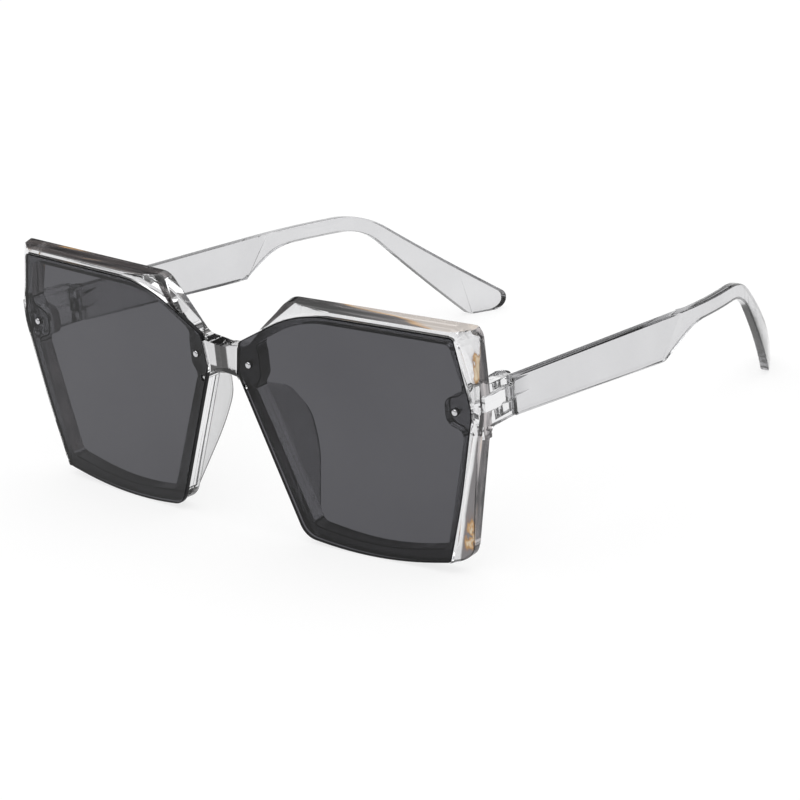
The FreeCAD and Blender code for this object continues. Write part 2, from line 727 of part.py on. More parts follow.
temple_blank = crossed("temple_blank", temple_side, temple_plan("temple_plan", "0", "temple_thickness"))
step_side = draw_outline(sketch_on("step_side", FROM_SIDE), [
    ("notch", "-overrun"),
    ("overall_depth + overrun", "-overrun"),
    ("overall_depth + overrun", "temple_top"),
    ("step_top", "temple_top"),
    ("notch", "notch_height"),
])
step_plan = temple_plan("step_plan", "temple_thickness - step_depth", "temple_thickness + overrun")
temple_form = cut("temple_form", temple_blank, crossed("step", step_side, step_plan))
high_relief = hinge_cylinder("high_relief", swing_radius, mid_high, "hinge_top + overrun")
low_relief = hinge_cylinder("low_relief", swing_radius, "hinge_base - overrun", mid_low)
temple_bore = hinge_cylinder("temple_bore", screw_bore, "hinge_base - overrun", "hinge_top + overrun")
temple_body = join("temple_body", temple_form, mid_knuckle)
left_temple = cut("left_temple", temple_body, high_relief, low_relief, temple_bore)


def turned(name, corners):
    """Turned piece about the Z axis of its own body."""
    body = document.addObject("PartDesign::Body", name)
    plane = next(item for item in body.Origin.OriginFeatures if item.Role == "XZ_Plane")
    profile = body.newObject("Sketcher::SketchObject", f"{name}_profile")
    profile.AttachmentSupport = [(plane, "")]
    profile.MapMode = "FlatFace"
    draw_outline(profile, corners)
    document.recompute()
    turning = body.newObject("PartDesign::Revolution", f"{name}_turning")
    turning.Profile = profile
    turning.ReferenceAxis = (profile, ["V_Axis"])
    return body


def rivet(name, across, height):
    """Rivet with its head on the lens and its shank in the rim."""
    body = turned(name, [
        ("0", "0"),
        ("rivet_diameter / 2", "0"),
        ("rivet_diameter / 2", "rivet_length"),
        ("rivet_head / 2", "rivet_length"),
        ("rivet_head / 2", "rivet_length + rivet_dome * (1 - rivet_crown_share)"),
        ("rivet_head * rivet_crown_share / 2", "rivet_length + rivet_dome"),
        ("0", "rivet_length + rivet_dome"),
    ])
    body.Placement.Rotation = FRONT_TURN.multiply(FreeCAD.Rotation(X_AXIS, 90))
    return place_on_front(body, across, "rivet_length", height, "centre_back")


left_hinge_screw = turned("left_hinge_screw", [
    ("0", "0"),
    ("screw_diameter / 2", "0"),
    ("screw_diameter / 2", "hinge_top - screw_head_height - hinge_base"),
    ("screw_head / 2", "hinge_top - screw_head_height - hinge_base"),
    ("screw_head / 2", "hinge_top - hinge_base"),
    ("0", "hinge_top - hinge_base"),
])
bind(left_hinge_screw, Placement__Base__x="hinge_across", Placement__Base__z="hinge_base")
bind(left_hinge_screw, Placement__Base__y="hinge_back - centre_back")

# The origin lies under the middle of the whole pair, on the table
for piece in (front_frame, left_lens, left_temple):
    bind(piece, Placement__Base__y="-centre_back")
left_pieces = {
    "left_lens": left_lens,
    "left_temple": left_temple,
    "left_hinge_screw": left_hinge_screw,
}
for name, place in RIVETS.items():
    left_pieces[f"left_{name}_rivet"] = rivet(f"left_{name}_rivet", *place)
nodes = {"front_frame": front_frame, **left_pieces}
for name, piece in left_pieces.items():
    right_name = name.replace("left", "right")
    nodes[right_name] = mirror(right_name, piece)
document.recompute()

failed = [item.Name for item in document.Objects if {"Invalid", "Error"} & set(item.State)]
failed += [name for name, item in nodes.items() if item.Shape.isNull() or not item.Shape.isValid()]
if failed:
    raise RuntimeError(f"these objects failed: {failed}")
os.makedirs("parts", exist_ok=True)
for name, item in nodes.items():
    item.Label = name
    item.Shape.exportStep(f"parts/{name}.step")
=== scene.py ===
import json
import math

import bmesh
import bpy
from mathutils import Matrix, Vector

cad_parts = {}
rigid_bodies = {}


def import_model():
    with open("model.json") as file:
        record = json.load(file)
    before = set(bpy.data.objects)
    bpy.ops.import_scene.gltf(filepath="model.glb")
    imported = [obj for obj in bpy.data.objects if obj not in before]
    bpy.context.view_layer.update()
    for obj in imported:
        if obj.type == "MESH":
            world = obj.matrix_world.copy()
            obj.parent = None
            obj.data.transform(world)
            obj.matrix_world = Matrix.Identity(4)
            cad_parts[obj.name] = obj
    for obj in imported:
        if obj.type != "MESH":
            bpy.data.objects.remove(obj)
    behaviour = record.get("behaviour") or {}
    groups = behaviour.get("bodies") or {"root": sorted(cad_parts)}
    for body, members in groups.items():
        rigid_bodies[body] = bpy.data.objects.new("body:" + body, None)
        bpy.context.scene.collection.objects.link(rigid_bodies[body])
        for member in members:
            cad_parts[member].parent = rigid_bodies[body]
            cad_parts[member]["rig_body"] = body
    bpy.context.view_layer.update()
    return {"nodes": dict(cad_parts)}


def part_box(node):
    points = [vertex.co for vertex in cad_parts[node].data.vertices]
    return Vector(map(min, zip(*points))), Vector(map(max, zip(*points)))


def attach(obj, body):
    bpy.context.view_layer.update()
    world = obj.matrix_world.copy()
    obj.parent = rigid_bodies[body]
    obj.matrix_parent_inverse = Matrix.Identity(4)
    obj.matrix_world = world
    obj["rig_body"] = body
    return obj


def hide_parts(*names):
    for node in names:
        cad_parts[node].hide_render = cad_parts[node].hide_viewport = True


# Oversized square sunglasses with a clear grey front, flat smoke lenses and clear folding temples.
# The CAD nodes give every place; the pieces here are their softened, finished copies.

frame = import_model()
nodes = frame["nodes"]
scene = bpy.context.scene

MM = 0.001

# Directions along which the tints and the painted shade fade
ACROSS = (1, 0, 0)
UP = (0, 0, 1)
BROW_SLANT = (1, 8, 0)
FROM_LENS_EDGE = (1, 0, -0.258)
ACROSS_SHOULDER = (-0.637, 0, 0.77)

# Each half of the front is turned back by the wrap angle; depths start at the front face of the lenses.
WRAP = math.radians(3.75)
FRONT_Y = -73.5 * MM
LENS_THICKNESS = 1.2 * MM
LENS_GAP = 0.05 * MM
RIM_MIDDLE = 3 * MM
RIM_BACK = 5 * MM

# Materials
PLASTIC_IOR = 1.5
COATED_IOR = 1.3
POLISH_GRAIN = 900
STREAK_AND_SHADE_POLISH = dict(grain=POLISH_GRAIN, smoothest=0.0, roughest=0.04)

CLEAR = (0.86, 0.86, 0.87)
# Seat of the lens: painted shade, from its palest tone down to its darkest
RING_PALE = (0.46, 0.46, 0.47)
RING_PAINTED_SHADE = (0.018, 0.018, 0.019)
LAND_PAINTED_SHADE = (0.07, 0.063, 0.065)
SHOULDER_PAINTED_SHADE = (0.03, 0.028, 0.028)
SHOULDER_DEEPEST_SHADE = (0.008, 0.007, 0.007)
BRIDGE_CLEAR = (0.56, 0.56, 0.57)
BRIDGE_PAINTED_SHADE = (0.014, 0.013, 0.013)
BRIDGE_DEEPEST_SHADE = (0.003, 0.003, 0.003)
STREAK_AMBER = (0.55, 0.33, 0.15)
STREAK_CREAM = (0.56, 0.51, 0.47)
FLECK_DARK = (0.12, 0.04, 0.01)
FLECK_AMBER = (0.40, 0.15, 0.025)
FLECK_PALE = (0.66, 0.47, 0.25)
LENS_DARK = (0.081, 0.081, 0.090)
LENS_PALE = (0.089, 0.089, 0.098)
EDGE_DARK = (0.004, 0.004, 0.005)
EDGE_PALE = (0.012, 0.012, 0.013)
CHROME = (0.66, 0.66, 0.68)
TURNED_STEEL = (0.82, 0.82, 0.84)
TEMPLE_HAZE = (0.2, 0.2, 0.22)
TEMPLE_HAZE_DENSITY = 130


def grey(level):
    """Neutral colour."""
    return level, level, level


def cool(level):
    """Grey with a trace of blue."""
    return level, level, 1.01 * level


def warm(level):
    """Grey with a trace of red."""
    return level, 0.92 * level, 0.94 * level


def new_material(name, **sockets):
    """Adds a material with one Principled shader and returns it with its node tree and the shader."""
    material = bpy.data.materials.new(name)
    material.use_nodes = True
    shader = material.node_tree.nodes["Principled BSDF"]
    for socket, number in sockets.items():
        shader.inputs[socket.replace("_", " ")].default_value = number
    return material, material.node_tree, shader


def noise(tree, scale, detail=2.0, stretch=(1, 1, 1)):
    """Noise in the object's own space, in features per metre."""
    place = tree.nodes.new("ShaderNodeTexCoord")
    mapping = tree.nodes.new("ShaderNodeMapping")
    mapping.inputs["Scale"].default_value = stretch
    texture = tree.nodes.new("ShaderNodeTexNoise")
    texture.inputs["Scale"].default_value = scale
    texture.inputs["Detail"].default_value = detail
    tree.links.new(place.outputs["Object"], mapping.inputs["Vector"])
    tree.links.new(mapping.outputs["Vector"], texture.inputs["Vector"])
    return texture.outputs["Fac"]


def ramp(tree, factor, *stops, interpolation="LINEAR"):
    """Colour ramp over a factor, with stops given as place and colour."""
    node = tree.nodes.new("ShaderNodeValToRGB")
    node.color_ramp.interpolation = interpolation
    elements = node.color_ramp.elements
    while len(elements) < len(stops):
        elements.new(0.5)
    for element, (place, colour) in zip(elements, stops):
        element.position = place
        element.color = (*colour, 1)
    tree.links.new(factor, node.inputs["Fac"])
    return node.outputs["Color"]


def spread(tree, factor, low, high):
    """Maps a factor from 0 to 1 onto a range."""
    node = tree.nodes.new("ShaderNodeMapRange")
    node.inputs["To Min"].default_value = low
    node.inputs["To Max"].default_value = high
    tree.links.new(factor, node.inputs["Value"])
    return node.outputs["Result"]


def combined(tree, operation, *factors):
    """Joins factors two by two with one kind of arithmetic."""
    total = factors[0]
    for factor in factors[1:]:
        node = tree.nodes.new("ShaderNodeMath")
        node.operation = operation
        tree.links.new(total, node.inputs[0])
        tree.links.new(factor, node.inputs[1])
        total = node.outputs["Value"]
    return total


def faded(tree, direction, start, end, low=0.0, high=1.0, mirrored=False):
    """Goes from low to high between two places along a direction of the object."""
    place = tree.nodes.new("ShaderNodeTexCoord").outputs["Object"]
    if mirrored:
        folded = tree.nodes.new("ShaderNodeVectorMath")
        folded.operation = "ABSOLUTE"
        tree.links.new(place, folded.inputs[0])
        place = folded.outputs["Vector"]
    along = tree.nodes.new("ShaderNodeVectorMath")
    along.operation = "DOT_PRODUCT"
    along.inputs[1].default_value = direction
    tree.links.new(place, along.inputs[0])
    fade = tree.nodes.new("ShaderNodeMapRange")
    fade.interpolation_type = "SMOOTHSTEP"
    for socket, number in (("From Min", start), ("From Max", end), ("To Min", low), ("To Max", high)):
        fade.inputs[socket].default_value = number
    tree.links.new(along.outputs["Value"], fade.inputs["Value"])
    return fade.outputs["Result"]


def coat(tree, shader, tint, grain, smoothest, roughest):
    """Gives the shader its tint and a roughness that varies with a grain."""
    tree.links.new(tint, shader.inputs["Base Color"])
    tree.links.new(spread(tree, noise(tree, grain), smoothest, roughest), shader.inputs["Roughness"])


def bump(tree, shader, height, strength, distance):
    """Bends the shader's normal by a height."""
    node = tree.nodes.new("ShaderNodeBump")
    node.inputs["Strength"].default_value = strength
    node.inputs["Distance"].default_value = distance
    tree.links.new(height, node.inputs["Height"])
    tree.links.new(node.outputs["Normal"], shader.inputs["Normal"])


def absorb(tree, colour, density):
    """Dims light along its way through a solid."""
    node = tree.nodes.new("ShaderNodeVolumeAbsorption")
    node.inputs["Color"].default_value = (*colour, 1)
    node.inputs["Density"].default_value = density
    tree.links.new(node.outputs["Volume"], tree.nodes["Material Output"].inputs["Volume"])


def clear_plastic(name, pale, cloudiness=0.08):
    """Grey see-through plastic with a faint cloudiness."""
    material, tree, shader = new_material(name, Transmission_Weight=1.0, IOR=PLASTIC_IOR)
    clouds = noise(tree, scale=60, detail=3)
    tint = ramp(tree, clouds, (0.3, cool((1 - cloudiness) * pale)), (0.7, cool(pale)))
    coat(tree, shader, tint, POLISH_GRAIN, smoothest=0.0, roughest=0.03)
    bump(tree, shader, noise(tree, scale=110, detail=1), strength=0.02, distance=0.3 * MM)
    return material


def rim_painted_shade_material(name):
    """Seat of the lens, with painted shade: darkest at the nose and along the bottom, paler at the brow and
    the outer side.
    """
    material, tree, shader = new_material(name, Transmission_Weight=1.0, IOR=PLASTIC_IOR)
    shade = combined(
        tree,
        "MULTIPLY",
        faded(tree, ACROSS, start=10 * MM, end=30 * MM, mirrored=True),
        faded(tree, UP, start=4 * MM, end=16 * MM),
        spread(tree, noise(tree, scale=80), low=0.7, high=1.1),
    )
    tint = ramp(tree, shade, (0.0, RING_PAINTED_SHADE), (1.0, RING_PALE))
    coat(tree, shader, tint, grain=700, smoothest=0.0, roughest=0.02)
    return material


def streaks_and_painted_shade_material(name, clear, stretch, dark, thinnings):
    """Painted dark shade broken by tortoise streaks, which turn amber and then pale where the thinnings add
    up.
    """
    material, tree, shader = new_material(name, Transmission_Weight=clear, IOR=PLASTIC_IOR)
    streaks = spread(tree, noise(tree, scale=800, detail=3, stretch=stretch), low=-0.3, high=1.0)
    thinned = combined(tree, "ADD", streaks, *(faded(tree, **thinning) for thinning in thinnings))
    # The dark stops are painted shade; the amber and cream stops are the tortoise colour
    tint = ramp(
        tree,
        thinned,
        (0.05, warm(0.05 * dark)),
        (0.30, warm(dark)),
        (0.55, (2.0 * dark, 1.75 * dark, 1.7 * dark)),
        (0.70, STREAK_AMBER),
        (0.86, STREAK_CREAM),
    )
    coat(tree, shader, tint, **STREAK_AND_SHADE_POLISH)
    return material


def land_material(name):
    """Sloped land of the outer side: clear by the lens, painted shade by the side wall, with two amber
    patches.
    """
    material, tree, shader = new_material(name, Transmission_Weight=0.9, IOR=PLASTIC_IOR)
    painted_shade_by_wall = combined(
        tree,
        "ADD",
        faded(tree, FROM_LENS_EDGE, start=60.4 * MM, end=61.6 * MM, high=0.8, mirrored=True),
        spread(tree, noise(tree, scale=300, detail=3, stretch=(1, 1, 0.15)), low=-0.3, high=0.3),
    )
    low_patch = combined(
        tree,
        "MULTIPLY",
        faded(tree, FROM_LENS_EDGE, start=61.0 * MM, end=62.4 * MM, mirrored=True),
        faded(tree, ACROSS, start=66.4 * MM, end=64.6 * MM, mirrored=True),
        faded(tree, UP, start=17 * MM, end=11 * MM),
        faded(tree, UP, start=5 * MM, end=8 * MM),
    )
    high_patch = combined(
        tree,
        "MULTIPLY",
        faded(tree, ACROSS, start=69.2 * MM, end=70.2 * MM, mirrored=True),
        faded(tree, UP, start=44 * MM, end=48 * MM),
        faded(tree, UP, start=53 * MM, end=50 * MM),
    )
    ragged = combined(
        tree,
        "MULTIPLY",
        combined(tree, "MAXIMUM", low_patch, high_patch),
        spread(tree, noise(tree, scale=1300, detail=3, stretch=(1, 1, 0.35)), low=-1.6, high=3.0),
    )
    tint = tree.nodes.new("ShaderNodeMix")
    tint.data_type = "RGBA"
    tree.links.new(spread(tree, ragged, low=0.0, high=3.0), tint.inputs["Factor"])
    # Clear by the lens, painted shade towards the side wall
    tree.links.new(ramp(tree, painted_shade_by_wall, (0.25, CLEAR), (0.55, LAND_PAINTED_SHADE)), tint.inputs["A"])
    amber = ramp(tree, ragged, (0.1, FLECK_DARK), (0.5, FLECK_AMBER), (1.0, FLECK_PALE))
    tree.links.new(amber, tint.inputs["B"])
    coat(tree, shader, tint.outputs["Result"], **STREAK_AND_SHADE_POLISH)
    return material


def shoulder_material(name):
    """Land at the inner end of the brow, with a band of painted shade that narrows along its upper edge."""
    material, tree, shader = new_material(name, Transmission_Weight=0.85, IOR=PLASTIC_IOR)
    shade = combined(
        tree,
        "MULTIPLY",
        faded(tree, ACROSS_SHOULDER, start=29.6 * MM, end=29.9 * MM, mirrored=True),
        spread(tree, noise(tree, scale=600, detail=3), low=0.7, high=1.1),
    )
    tint = ramp(tree, shade, (0.0, CLEAR), (0.6, SHOULDER_PAINTED_SHADE), (1.0, SHOULDER_DEEPEST_SHADE))
    coat(tree, shader, tint, **STREAK_AND_SHADE_POLISH)
    return material


def bridge_material(name):
    """Front of the bridge, with a speckled column and a low edge of painted shade."""
    material, tree, shader = new_material(name, Transmission_Weight=0.92, IOR=PLASTIC_IOR)
    column = combined(
        tree,
        "MULTIPLY",
        faded(tree, ACROSS, start=-2.0 * MM, end=-1.5 * MM),
        faded(tree, ACROSS, start=2.2 * MM, end=1.4 * MM),
    )
    low_edge = faded(tree, UP, start=39.3 * MM, end=38.8 * MM)
    shade = combined(
        tree,
        "MULTIPLY",
        combined(tree, "MAXIMUM", column, low_edge),
        spread(tree, noise(tree, scale=1400, detail=3), low=0.75, high=1.1),
    )
    tint = ramp(tree, shade, (0.0, BRIDGE_CLEAR), (0.6, BRIDGE_PAINTED_SHADE), (1.0, BRIDGE_DEEPEST_SHADE))
    coat(tree, shader, tint, **STREAK_AND_SHADE_POLISH)
    return material


def lens_face_material(name):
    """Dark smoke lens; the low IOR gives it the weak reflection of a coated surface."""
    material, tree, shader = new_material(name, Transmission_Weight=1.0, IOR=COATED_IOR)
    tint = ramp(tree, noise(tree, scale=30), (0.3, LENS_DARK), (0.7, LENS_PALE))
    coat(tree, shader, tint, grain=500, smoothest=0.0, roughest=0.02)
    return material


def lens_edge_material(name):
    """Black ground edge, hardly shiny; also used as painted shade for the dark outlines in the front's
    openings and the rings under the rivet heads.
    """
    material, tree, shader = new_material(name, IOR=PLASTIC_IOR, Specular_IOR_Level=0.1)
    tint = ramp(tree, noise(tree, scale=700), (0.3, EDGE_DARK), (0.7, EDGE_PALE))
    coat(tree, shader, tint, POLISH_GRAIN, smoothest=0.2, roughest=0.4)
    return material


def steel(name, colour, smoothest, roughest):
    """Bright metal with fine darker specks."""
    material, tree, shader = new_material(name, Metallic=1.0)
    specks = tuple(0.75 * part for part in colour)
    tint = ramp(tree, noise(tree, scale=2500, detail=3), (0.35, specks), (0.65, colour))
    coat(tree, shader, tint, grain=4000, smoothest=smoothest, roughest=roughest)
    bump(tree, shader, noise(tree, scale=6000), strength=0.1, distance=0.05 * MM)
    return material


plastic = clear_plastic("clear_grey_plastic", pale=0.86)
pad_plastic = clear_plastic("pad_plastic", pale=0.42)
temple_plastic = clear_plastic("temple_plastic", pale=0.93)
absorb(temple_plastic.node_tree, TEMPLE_HAZE, TEMPLE_HAZE_DENSITY)
rim_painted_shade = rim_painted_shade_material("rim_painted_shade")
# Brow and outer side walls: painted shade under amber tortoise streaks
brow_streaks_and_shade = streaks_and_painted_shade_material(
    "brow_streaks_and_painted_shade",
    clear=0.25,
    stretch=(0.06, 1, 1),
    dark=0.06,
    thinnings=(
        dict(direction=ACROSS, start=-5 * MM, end=12 * MM, low=0.0, high=-0.45),
        dict(direction=BROW_SLANT, start=-526 * MM, end=-470 * MM, low=0.0, high=1.2),
    ),
)
side_streaks_and_shade = streaks_and_painted_shade_material(
    "side_streaks_and_painted_shade",
    clear=0.8,
    stretch=(1, 1, 0.05),
    dark=0.22,
    thinnings=(dict(direction=UP, start=12 * MM, end=4 * MM, low=-0.05, high=0.08),),
)
land_shade_and_amber = land_material("land_painted_shade_and_amber")
shoulder_shade = shoulder_material("shoulder_painted_shade")
bridge_shade = bridge_material("bridge_painted_shade")
smoke = lens_face_material("smoke_lens")
lens_edge_and_painted_shade = lens_edge_material("lens_edge_and_painted_shade")
chrome = steel("polished_steel", CHROME, smoothest=0.05, roughest=0.16)
screw_finish = steel("screw_steel_turned", TURNED_STEEL, smoothest=0.25, roughest=0.4)

# Softened copies of the CAD nodes
SHARP = math.radians(28)
CREASE = math.radians(42)
FLAT = math.radians(0.6)
WELD = 0.002 * MM
FRONT_ROUNDING = 0.3 * MM
TEMPLE_ROUNDING = 0.5 * MM
LENS_ROUNDING = 0.25 * MM
# Width of the painted shade lines round the openings
SHADE_LINE_WIDTH = 0.22 * MM
ROUNDING_STEPS = 3
INHERITED = -1
# An edge is rounded when the surfaces beside it and at its ends run on for this many widths.
ROOM_BESIDE = 3.0
ROOM_AT_ENDS = 1.3


def room_beside(loop, sharp, reach, most_faces=30):
    """How far the surface runs from the middle of an edge, square to it, before the next sharp edge."""
    parallel = 1e-15
    slack = 0.001
    face = loop.face
    run_along = loop.link_loop_next.vert.co - loop.vert.co
    point = loop.vert.co + run_along / 2
    heading = face.normal.cross(run_along.normalized())
    entered = loop.edge
    gone = 0.0
    for _ in range(most_faces):
        crossings = []
        for side in face.loops:
            run = side.link_loop_next.vert.co - side.vert.co
            opening = face.normal.dot(heading.cross(run))
            if side.edge == entered or abs(opening) < parallel:
                continue
            offset = side.vert.co - point
            distance = face.normal.dot(offset.cross(run)) / opening
            share = face.normal.dot(offset.cross(heading)) / opening
            if distance > 0 and -slack < share < 1 + slack:
                crossings.append((distance, side.edge.index, side.edge))
        if not crossings:
            return gone
        distance, _, entered = min(crossings)
        gone += distance
        if gone > reach or entered in sharp:
            break
        point = point + heading * distance
        face = next(other for other in entered.link_faces if other != face)
        heading = (heading - face.normal * heading.dot(face.normal)).normalized()
    return min(gone, reach)


def room_at_ends(edge, reach):
    """Length of the shortest edge that leaves an edge's ends sideways."""
    sideways = 0.6
    along = (edge.verts[1].co - edge.verts[0].co).normalized()
    shortest = reach
    for vert in edge.verts:
        for other in vert.link_edges:
            run = other.other_vert(vert).co - vert.co
            aside = run.cross(along).length
            if other != edge and aside > sideways * run.length:
                shortest = min(shortest, aside)
    return shortest


def bevelled(shape, edges, width, finish):
    """Rounds edges, and gives the rounding a finish of its own unless that is INHERITED."""
    bmesh.ops.bevel(
        shape,
        geom=edges,
        offset=width,
        offset_type="OFFSET",
        affect="EDGES",
        segments=ROUNDING_STEPS,
        profile=0.5,
        clamp_overlap=False,
        loop_slide=True,
        material=finish,
    )
    shape.normal_update()


def smooth_object(name, shape, finishes, crease):
    """Makes a shape into an object with finishes, shaded smooth up to a crease."""
    mesh = bpy.data.meshes.new(name)
    shape.to_mesh(mesh)
    shape.free()
    for face in mesh.polygons:
        face.use_smooth = True
    mesh.set_sharp_from_angle(angle=crease)
    for finish in finishes:
        mesh.materials.append(finish)
    piece = bpy.data.objects.new(name, mesh)
    scene.collection.objects.link(piece)
    return piece


def softened(node, width, finishes, paint=None, edge_finish=INHERITED, lined=None):
    """Copies a CAD node with its sharp edges rounded where the surfaces beside them run on for long enough.

    Where lined names a finish, the edges round its faces come first and get the last finish as a painted
    shade line.
    """
    cad = nodes[node]
    shape = bmesh.new()
    shape.from_mesh(cad.data)
    bmesh.ops.remove_doubles(shape, verts=shape.verts, dist=WELD)
    bmesh.ops.dissolve_limit(shape, angle_limit=FLAT, verts=shape.verts, edges=shape.edges)
    shape.normal_update()
    if paint is not None:
        paint(shape)
    if lined is not None:
        shade_outline = [
            edge
            for edge in shape.edges
            if [face.material_index for face in edge.link_faces].count(lined) == 1
        ]
        bevelled(shape, shade_outline, SHADE_LINE_WIDTH, len(finishes) - 1)
    shape.edges.index_update()
    sharp = {edge for edge in shape.edges if edge.calc_face_angle(0) > SHARP}
    reach = ROOM_BESIDE * width
    roomy = []
    for edge in sorted(sharp, key=lambda edge: edge.index):
        beside = min(room_beside(loop, sharp, reach) for loop in edge.link_loops)
        if beside >= reach and room_at_ends(edge, reach) > ROOM_AT_ENDS * width:
            roomy.append(edge)
    bevelled(shape, roomy, width, edge_finish)
    piece = smooth_object(f"{node}_finish", shape, finishes, CREASE)
    flattening = piece.modifiers.new("flattening", "WEIGHTED_NORMAL")
    flattening.weight = 100
    flattening.keep_sharp = True
    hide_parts(node)
    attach(piece, cad["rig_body"])


def on_front(point):
    """Across, depth and height of a point in the flat layout of the front."""
    across = abs(point.x)
    depth = point.y - FRONT_Y
    return (
        across * math.cos(WRAP) + depth * math.sin(WRAP),
        depth * math.cos(WRAP) - across * math.sin(WRAP),
        point.z,
    )


# Front, with finishes that end at these places of its flat layout
FRONT_FINISHES = (
    plastic,
    rim_painted_shade,
    brow_streaks_and_shade,
    side_streaks_and_shade,
    land_shade_and_amber,
    shoulder_shade,
    bridge_shade,
    pad_plastic,
    rim_painted_shade,
    # Last finish: painted shade for the dark outlines round the openings
    lens_edge_and_painted_shade,
)
(
    PLAIN,
    RIM_PAINTED_SHADE,
    BROW_STREAKS_AND_SHADE,
    SIDE_STREAKS_AND_SHADE,
    LAND_SHADE_AND_AMBER,
    SHOULDER_SHADE,
    BRIDGE_SHADE,
    PAD,
    OPENING_SHADE,
) = range(len(FRONT_FINISHES) - 1)
BRIDGE_END = 5.5 * MM
BRIDGE_HEIGHTS = (36 * MM, 46 * MM)
NOSE_SIDE = 24 * MM
SHOULDER_FOOT = 44 * MM
BROW_FOOT = 45 * MM
OUTER_SIDE = 58 * MM
OUTER_END = 71.8 * MM
SILL_END = 56 * MM
SILL_TOP = 20 * MM
OUTER_TAB = ((60 * MM, 67.5 * MM), (33 * MM, 45 * MM))
INNER_TAB = ((8.5 * MM, 13.5 * MM), (35.5 * MM, 46 * MM))
TABS = (OUTER_TAB, INNER_TAB)
SEAT_SLACK = 0.1 * MM
OPENING_SLACK = 0.2 * MM


def inside(limits, number):
    """Whether a number lies between two limits."""
    low, high = limits
    return low < number < high


def front_finish(face):
    """Finish of a face of the front, by where it lies and which way it faces."""
    centre = face.calc_center_median()
    across, depth, height = on_front(centre)
    facing = on_front(centre + face.normal * MM)
    out, forward, upward = ((b - a) / MM for a, b in zip((across, depth, height), facing))
    flat = forward < -0.9
    sloped = forward < -0.5
    turned_forward = forward < -0.3
    wall = abs(forward) < 0.45 and depth < RIM_BACK
    on_top = upward > 0.85
    outer = across > OUTER_SIDE and out > 0.5
    pad_side = depth > RIM_BACK and out > 0.7
    on_sill = upward > 0.5 and height < SILL_TOP and across < SILL_END
    on_tab = any(inside(widths, across) and inside(heights, height) for widths, heights in TABS)
    # The seat under each lens takes the rim's painted shade
    if flat and abs(depth - LENS_THICKNESS) < SEAT_SLACK:
        return RIM_PAINTED_SHADE
    # The front of the bridge takes a column and low edge of painted shade
    if flat and across < BRIDGE_END and inside(BRIDGE_HEIGHTS, height):
        return BRIDGE_SHADE
    # The brow's top wall and the outer side wall take painted shade with tortoise streaks
    if wall and on_top and height > BROW_FOOT:
        return BROW_STREAKS_AND_SHADE
    if wall and outer and across < OUTER_END:
        return SIDE_STREAKS_AND_SHADE
    # The sloped land takes painted shade by the side wall, with two amber patches
    if sloped and outer:
        return LAND_SHADE_AND_AMBER
    # The inner end of the brow takes a band of painted shade
    if turned_forward and across < NOSE_SIDE and height > SHOULDER_FOOT:
        return SHOULDER_SHADE
    if pad_side and across < NOSE_SIDE:
        return PAD
    # The sill and the tabs inside the opening take the rim's painted shade, with a painted dark outline
    if abs(depth - RIM_MIDDLE) < OPENING_SLACK and (on_sill or on_tab):
        return OPENING_SHADE
    return PLAIN


def paint_front(shape):
    """Gives each face of the front its finish."""
    for face in shape.faces:
        face.material_index = front_finish(face)


softened("front_frame", FRONT_ROUNDING, FRONT_FINISHES, paint_front, lined=OPENING_SHADE)


# Rivets, turned about their own axes
def turned(name, profile, place, axis, finishes, painted_shade_rings=(), steps=32):
    """Turns a profile of radius and height about an axis that starts at a place; the listed dark rings take
    the second finish as painted shade.
    """
    shape = bmesh.new()
    angles = [math.tau * step / steps for step in range(steps)]
    rings = []
    for radius, height in profile:
        if radius == 0:
            rings.append([shape.verts.new((0, 0, height))])
            continue
        rings.append([shape.verts.new((radius * math.cos(a), radius * math.sin(a), height)) for a in angles])
    for ring, (low, high) in enumerate(zip(rings, rings[1:])):
        for i in range(steps):
            after = i + 1
            corners = [low[i % len(low)], low[after % len(low)], high[after % len(high)], high[i % len(high)]]
            face = shape.faces.new(list(dict.fromkeys(corners)))
            face.material_index = 1 if ring in painted_shade_rings else 0
    bmesh.ops.recalc_face_normals(shape, faces=shape.faces)
    piece = smooth_object(name, shape, finishes, SHARP)
    upright_to_axis = Vector(UP).rotation_difference(axis).to_matrix().to_4x4()
    piece.matrix_world = Matrix.Translation(place) @ upright_to_axis
    return piece


def domed(radius, start, height, steps=6):
    """Profile of a rounded head, from its rim to its crown."""
    turns = [math.pi / 2 * step / steps for step in range(steps)]
    rounding = [(radius * math.cos(turn), start + height * math.sin(turn)) for turn in turns]
    return rounding + [(0, start + height)]


RIVET_LENGTH = 3.4 * MM
RIVET_RADIUS = 0.6 * MM
RIVET_SEAT_RADIUS = 0.95 * MM
RIVET_HEAD_RADIUS = 0.76 * MM
RIVET_RIM = 0.1 * MM
RIVET_DOME = 0.45 * MM
RIVET_SINK = 0.1 * MM
RIVET_PROFILE = [
    (0, 0),
    (RIVET_RADIUS - RIVET_RIM, 0),
    (RIVET_RADIUS, RIVET_RIM),
    (RIVET_RADIUS, RIVET_LENGTH),
    (RIVET_SEAT_RADIUS, RIVET_LENGTH),
    (RIVET_SEAT_RADIUS, RIVET_LENGTH + RIVET_RIM),
    *domed(RIVET_HEAD_RADIUS, RIVET_LENGTH + RIVET_RIM, RIVET_DOME - RIVET_RIM),
]
# The collar under each rivet head is painted near black as shade
RIVET_PAINTED_SHADE_RINGS = (4, 5)

# Lenses, temples, rivets and screws of both sides
LENS_FINISHES = (smoke, lens_edge_and_painted_shade)
LENS_EDGE = 1


def lens_painter(facing):
    """Returns the paint of a lens that faces this way: a dark edge, and the back lifted off the seat."""

    def paint(shape):
        for face in shape.faces:
            if abs(face.normal.dot(facing)) < 0.5:
                face.material_index = LENS_EDGE
        for vert in shape.verts:
            if on_front(vert.co)[1] > LENS_THICKNESS / 2:
                vert.co += facing * LENS_GAP

    return paint


